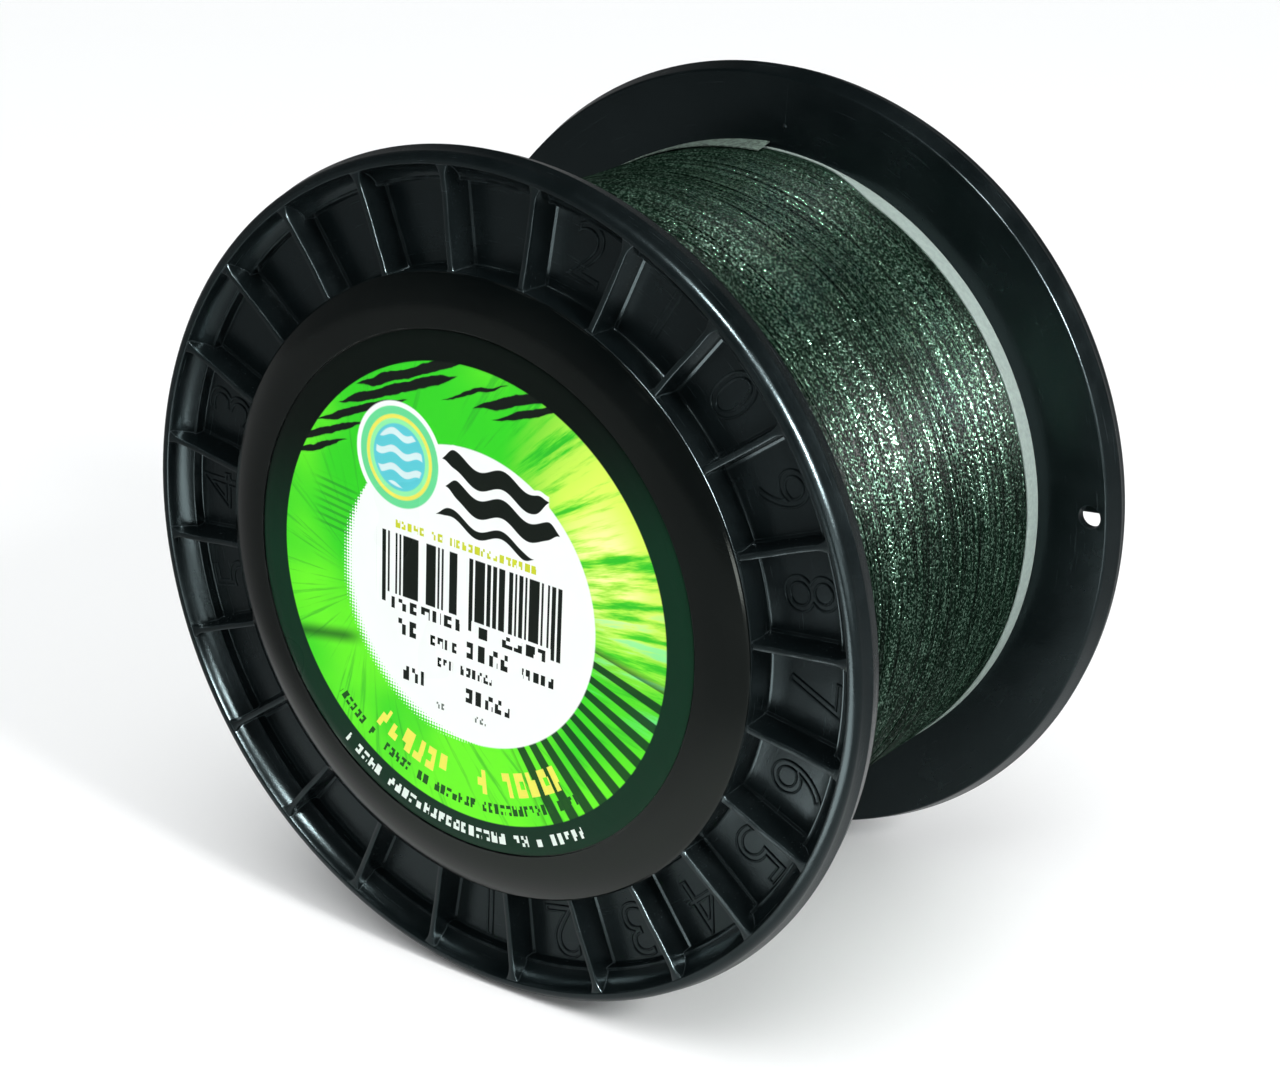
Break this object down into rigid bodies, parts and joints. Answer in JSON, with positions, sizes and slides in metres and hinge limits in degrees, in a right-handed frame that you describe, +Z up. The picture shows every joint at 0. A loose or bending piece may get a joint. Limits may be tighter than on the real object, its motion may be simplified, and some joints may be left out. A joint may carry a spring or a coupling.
{
  "type": "fishing line spool",
  "caption": "Wide bulk spool of dark green braided fishing line with ribbed black flanges on a hollow drum, domed hub caps and a round label.",
  "frame": {"origin": "centre of the spool, on its axis and midway between the two flanges", "axes": "+Y along the spool's axis, out of the rear end, away from the label; +Z up with the spool lying on its two rims; +X to the right seen from the label side"},
  "size_m": [0.114, 0.0732, 0.114],
  "materials": {
    "flange_plastic": "satin black moulded plastic",
    "hub_plastic": "semi-gloss black moulded plastic",
    "label_film": "printed gloss label, green with a white middle",
    "braided_line": "dark moss green braid with a waxy sheen",
    "tape_film": "pale grey tape"
  },
  "bodies": {
    "root": {"front_flange": "flange_plastic", "rear_flange": "flange_plastic", "core_drum": "flange_plastic", "front_hub_cap": "hub_plastic", "rear_hub_cap": "hub_plastic", "arbor_tube": "flange_plastic", "front_label": "label_film", "line_pack": "braided_line", "edge_tape": "tape_film", "anchor_tape": "tape_film"}
  },
  "joints": []
}
